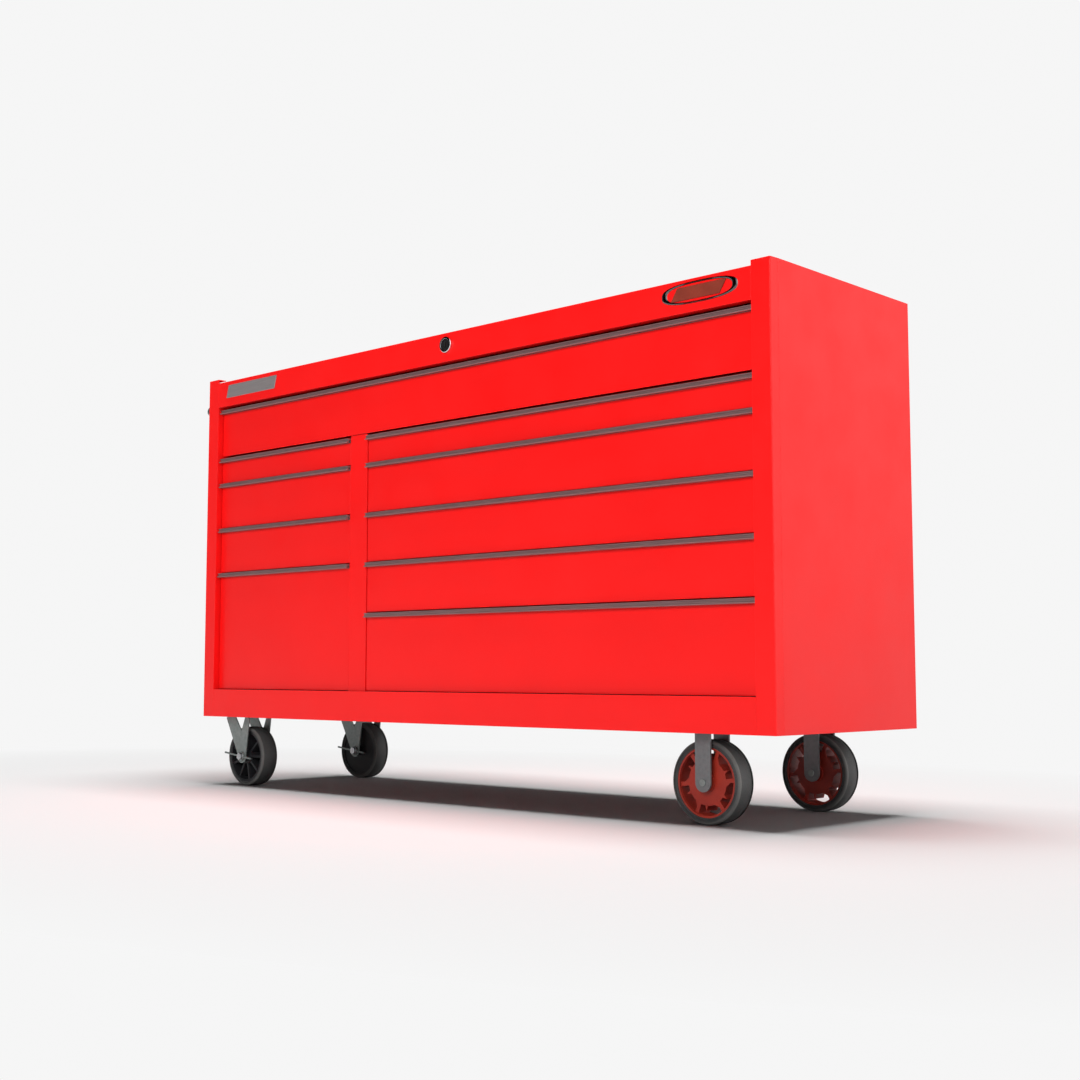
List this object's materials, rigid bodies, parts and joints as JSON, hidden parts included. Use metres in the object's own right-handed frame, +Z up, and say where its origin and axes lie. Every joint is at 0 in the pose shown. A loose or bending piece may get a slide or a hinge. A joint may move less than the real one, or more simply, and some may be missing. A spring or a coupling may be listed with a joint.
{
  "type": "rolling tool chest",
  "caption": "Wide rolling steel tool chest with full-width pulls on its drawers, a key lock, a side push handle, two fixed and two swivelling braked casters.",
  "frame": {"origin": "on the floor under the middle of the whole chest", "axes": "+X along the width towards the fixed casters, -Y the way the drawers open, +Z up"},
  "size_m": [1.787, 0.4914, 1.023],
  "materials": {
    "red_paint": "gloss enamel on sheet steel",
    "inner_steel": "thin enamel on hidden sheet steel",
    "zinc": "bright zinc plate",
    "mat_rubber": "matt ribbed mat",
    "handle_metal": "satin plated tube",
    "lock_chrome": "polished",
    "lock_plug": "dark plated",
    "badge_metal": "satin, blank",
    "pull_aluminium": "brushed extrusion",
    "caster_steel": "dull zinc pressing",
    "tyre_rubber": "matt tread with a worn shoulder",
    "hub_red": "brick red cast hub",
    "hub_black": "moulded black hub"
  },
  "bodies": {
    "cabinet": {"side_panel_left": "red_paint", "side_panel_right": "red_paint", "corner_post_left": "red_paint", "corner_post_right": "red_paint", "mid_post": "red_paint", "back_panel": "red_paint", "top_rail": "red_paint", "bottom_rail": "red_paint", "top_deck": "red_paint", "floor_pan": "inner_steel", "rear_uprights": "inner_steel", "centre_divider": "inner_steel", "cross_rail": "inner_steel", "caster_channels": "zinc", "cabinet_slides": "zinc", "caster_bolts": "zinc", "rigid_axles": "zinc", "top_mat": "mat_rubber", "push_handle_bar": "handle_metal", "push_handle_brackets": "handle_metal", "lock_housing": "lock_chrome", "badges": "badge_metal", "rigid_forks": "caster_steel", "swivel_plates": "caster_steel"},
    "drawer_top": {"drawer_top": "red_paint", "drawer_top_pull": "pull_aluminium"},
    "drawer_left_1": {"drawer_left_1": "red_paint", "drawer_left_1_pull": "pull_aluminium"},
    "drawer_left_2": {"drawer_left_2": "red_paint", "drawer_left_2_pull": "pull_aluminium"},
    "drawer_left_3": {"drawer_left_3": "red_paint", "drawer_left_3_pull": "pull_aluminium"},
    "drawer_left_4": {"drawer_left_4": "red_paint", "drawer_left_4_pull": "pull_aluminium"},
    "drawer_right_1": {"drawer_right_1": "red_paint", "drawer_right_1_pull": "pull_aluminium"},
    "drawer_right_2": {"drawer_right_2": "red_paint", "drawer_right_2_pull": "pull_aluminium"},
    "drawer_right_3": {"drawer_right_3": "red_paint", "drawer_right_3_pull": "pull_aluminium"},
    "drawer_right_4": {"drawer_right_4": "red_paint", "drawer_right_4_pull": "pull_aluminium"},
    "drawer_right_5": {"drawer_right_5": "red_paint", "drawer_right_5_pull": "pull_aluminium"},
    "lock": {"lock_plug": "lock_plug", "lock_cam": "zinc"},
    "wheel_right_front": {"tyre_right_front": "tyre_rubber", "hub_right_front": "hub_red"},
    "swivel_front": {"swivel_fork_front": "caster_steel", "swivel_axle_front": "zinc"},
    "wheel_left_front": {"tyre_left_front": "tyre_rubber", "hub_left_front": "hub_black"},
    "brake_front": {"brake_lever_front": "caster_steel"},
    "wheel_right_back": {"tyre_right_back": "tyre_rubber", "hub_right_back": "hub_red"},
    "swivel_back": {"swivel_fork_back": "caster_steel", "swivel_axle_back": "zinc"},
    "wheel_left_back": {"tyre_left_back": "tyre_rubber", "hub_left_back": "hub_black"},
    "brake_back": {"brake_lever_back": "caster_steel"}
  },
  "joints": [
    {"name": "drawer_top_slide", "type": "slide", "parent": "cabinet", "child": "drawer_top", "axis": [0, -1, 0], "range_m": [0, 0.38]},
    {"name": "drawer_left_1_slide", "type": "slide", "parent": "cabinet", "child": "drawer_left_1", "axis": [0, -1, 0], "range_m": [0, 0.38]},
    {"name": "drawer_left_2_slide", "type": "slide", "parent": "cabinet", "child": "drawer_left_2", "axis": [0, -1, 0], "range_m": [0, 0.38]},
    {"name": "drawer_left_3_slide", "type": "slide", "parent": "cabinet", "child": "drawer_left_3", "axis": [0, -1, 0], "range_m": [0, 0.38]},
    {"name": "drawer_left_4_slide", "type": "slide", "parent": "cabinet", "child": "drawer_left_4", "axis": [0, -1, 0], "range_m": [0, 0.38]},
    {"name": "drawer_right_1_slide", "type": "slide", "parent": "cabinet", "child": "drawer_right_1", "axis": [0, -1, 0], "range_m": [0, 0.38]},
    {"name": "drawer_right_2_slide", "type": "slide", "parent": "cabinet", "child": "drawer_right_2", "axis": [0, -1, 0], "range_m": [0, 0.38]},
    {"name": "drawer_right_3_slide", "type": "slide", "parent": "cabinet", "child": "drawer_right_3", "axis": [0, -1, 0], "range_m": [0, 0.38]},
    {"name": "drawer_right_4_slide", "type": "slide", "parent": "cabinet", "child": "drawer_right_4", "axis": [0, -1, 0], "range_m": [0, 0.38]},
    {"name": "drawer_right_5_slide", "type": "slide", "parent": "cabinet", "child": "drawer_right_5", "axis": [0, -1, 0], "range_m": [0, 0.38]},
    {"name": "lock_turn", "type": "hinge", "parent": "cabinet", "child": "lock", "pos_m": [0.0525, -0.24025, 0.9865], "axis": [0, 1, 0], "range_deg": [0, 90]},
    {"name": "wheel_right_front_roll", "type": "hinge", "parent": "cabinet", "child": "wheel_right_front", "pos_m": [0.7025, -0.17025, 0.0785], "axis": [0, 1, 0], "continuous": true},
    {"name": "swivel_front_turn", "type": "hinge", "parent": "cabinet", "child": "swivel_front", "pos_m": [-0.7355, -0.17025, 0.17], "axis": [0, 0, 1], "continuous": true},
    {"name": "wheel_left_front_roll", "type": "hinge", "parent": "swivel_front", "child": "wheel_left_front", "pos_m": [-0.7155, -0.17025, 0.0725], "axis": [0, 1, 0], "continuous": true},
    {"name": "brake_front_press", "type": "hinge", "parent": "swivel_front", "child": "brake_front", "pos_m": [-0.7155, -0.17025, 0.0725], "axis": [0, 1, 0], "range_deg": [-25, 0]},
    {"name": "wheel_right_back_roll", "type": "hinge", "parent": "cabinet", "child": "wheel_right_back", "pos_m": [0.7025, 0.19275, 0.0785], "axis": [0, 1, 0], "continuous": true},
    {"name": "swivel_back_turn", "type": "hinge", "parent": "cabinet", "child": "swivel_back", "pos_m": [-0.7355, 0.19275, 0.17], "axis": [0, 0, 1], "continuous": true},
    {"name": "wheel_left_back_roll", "type": "hinge", "parent": "swivel_back", "child": "wheel_left_back", "pos_m": [-0.7155, 0.19275, 0.0725], "axis": [0, 1, 0], "continuous": true},
    {"name": "brake_back_press", "type": "hinge", "parent": "swivel_back", "child": "brake_back", "pos_m": [-0.7155, 0.19275, 0.0725], "axis": [0, 1, 0], "range_deg": [-25, 0]}
  ]
}
